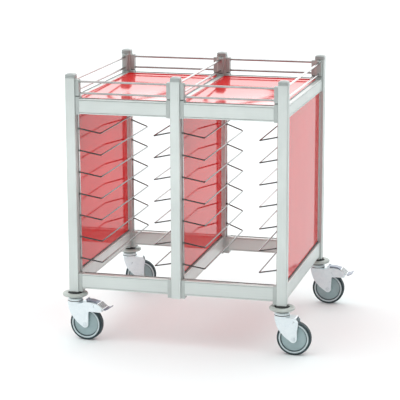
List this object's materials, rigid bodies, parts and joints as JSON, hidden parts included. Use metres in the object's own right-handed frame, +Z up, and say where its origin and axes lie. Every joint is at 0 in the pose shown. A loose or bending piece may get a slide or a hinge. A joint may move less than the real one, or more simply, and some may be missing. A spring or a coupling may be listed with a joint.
{
  "type": "food service trolley",
  "caption": "Wheeled double-bay tray trolley: aluminium frame, glossy red panels and shelves, wire runners, low gallery rails and swivel casters with brakes.",
  "frame": {"origin": "on the floor, at the centre of the bounding box, with the rear right brake pedal counted in", "axes": "+X to the right along the front, +Y from the open front to the open rear, +Z up"},
  "size_m": [0.9688, 0.776, 0.9912],
  "materials": {
    "frame": "satin silver lacquer",
    "cap": "moulded grey",
    "chrome": "bright wire",
    "red": "high gloss",
    "bumper": "matt grey",
    "zinc": "bright zinc plate",
    "wheel": "moulded blue-grey",
    "tyre": "dark grey rubber",
    "pedal": "pressed steel"
  },
  "bodies": {
    "root": {"post_front_left": "frame", "cap_front_left": "cap", "post_front_middle": "frame", "cap_front_middle": "cap", "post_front_right": "frame", "cap_front_right": "cap", "post_rear_left": "frame", "cap_rear_left": "cap", "post_rear_middle": "frame", "cap_rear_middle": "cap", "post_rear_right": "frame", "cap_rear_right": "cap", "top_rail_front_left": "frame", "top_rail_front_right": "frame", "top_rail_rear_left": "frame", "top_rail_rear_right": "frame", "top_rail_side_left": "frame", "top_rail_middle": "frame", "top_rail_side_right": "frame", "bottom_rail_front_left": "frame", "bottom_rail_front_right": "frame", "bottom_rail_rear_left": "frame", "bottom_rail_rear_right": "frame", "bottom_rail_side_left": "frame", "bottom_rail_middle": "frame", "bottom_rail_side_right": "frame", "gallery_front_left": "chrome", "gallery_front_right": "chrome", "gallery_rear_left": "chrome", "gallery_rear_right": "chrome", "gallery_side_left": "chrome", "gallery_middle": "chrome", "gallery_side_right": "chrome", "panel_left": "red", "panel_middle": "red", "panel_right": "red", "shelf_left": "red", "runners_left_bay_left": "chrome", "runners_left_bay_right": "chrome", "shelf_right": "red", "runners_right_bay_left": "chrome", "runners_right_bay_right": "chrome", "bumper_front_left": "bumper", "bumper_front_right": "bumper", "bumper_rear_left": "bumper", "bumper_rear_right": "bumper"},
    "swivel_front_left": {"fork_front_left": "zinc"},
    "wheel_front_left": {"wheel_core_front_left": "wheel", "tyre_front_left": "tyre"},
    "pedal_front_left": {"brake_pedal_front_left": "pedal"},
    "swivel_front_right": {"fork_front_right": "zinc"},
    "wheel_front_right": {"wheel_core_front_right": "wheel", "tyre_front_right": "tyre"},
    "swivel_rear_left": {"fork_rear_left": "zinc"},
    "wheel_rear_left": {"wheel_core_rear_left": "wheel", "tyre_rear_left": "tyre"},
    "swivel_rear_right": {"fork_rear_right": "zinc"},
    "wheel_rear_right": {"wheel_core_rear_right": "wheel", "tyre_rear_right": "tyre"},
    "pedal_rear_right": {"brake_pedal_rear_right": "pedal"}
  },
  "joints": [
    {"name": "swivel_front_left", "type": "hinge", "parent": "root", "child": "swivel_front_left", "pos_m": [-0.4375, -0.341, 0.1645], "axis": [0, 0, 1], "continuous": true},
    {"name": "roll_front_left", "type": "hinge", "parent": "swivel_front_left", "child": "wheel_front_left", "pos_m": [-0.39267, -0.34492, 0.0625], "axis": [0.0872, 0.9962, 0], "continuous": true},
    {"name": "brake_front_left", "type": "hinge", "parent": "swivel_front_left", "child": "pedal_front_left", "pos_m": [-0.39068, -0.3451, 0.1505], "axis": [-0.0872, -0.9962, 0], "range_deg": [0, 14]},
    {"name": "swivel_front_right", "type": "hinge", "parent": "root", "child": "swivel_front_right", "pos_m": [0.3425, -0.341, 0.1645], "axis": [0, 0, 1], "continuous": true},
    {"name": "roll_front_right", "type": "hinge", "parent": "swivel_front_right", "child": "wheel_front_right", "pos_m": [0.3875, -0.341, 0.0625], "axis": [0, 1, 0], "continuous": true},
    {"name": "swivel_rear_left", "type": "hinge", "parent": "root", "child": "swivel_rear_left", "pos_m": [-0.4375, 0.341, 0.1645], "axis": [0, 0, 1], "continuous": true},
    {"name": "roll_rear_left", "type": "hinge", "parent": "swivel_rear_left", "child": "wheel_rear_left", "pos_m": [-0.39403, 0.35265, 0.0625], "axis": [-0.2588, 0.9659, 0], "continuous": true},
    {"name": "swivel_rear_right", "type": "hinge", "parent": "root", "child": "swivel_rear_right", "pos_m": [0.3425, 0.341, 0.1645], "axis": [0, 0, 1], "continuous": true},
    {"name": "roll_rear_right", "type": "hinge", "parent": "swivel_rear_right", "child": "wheel_rear_right", "pos_m": [0.3875, 0.341, 0.0625], "axis": [0, 1, 0], "continuous": true},
    {"name": "brake_rear_right", "type": "hinge", "parent": "swivel_rear_right", "child": "pedal_rear_right", "pos_m": [0.3895, 0.341, 0.1505], "axis": [0, -1, 0], "range_deg": [0, 14]}
  ]
}
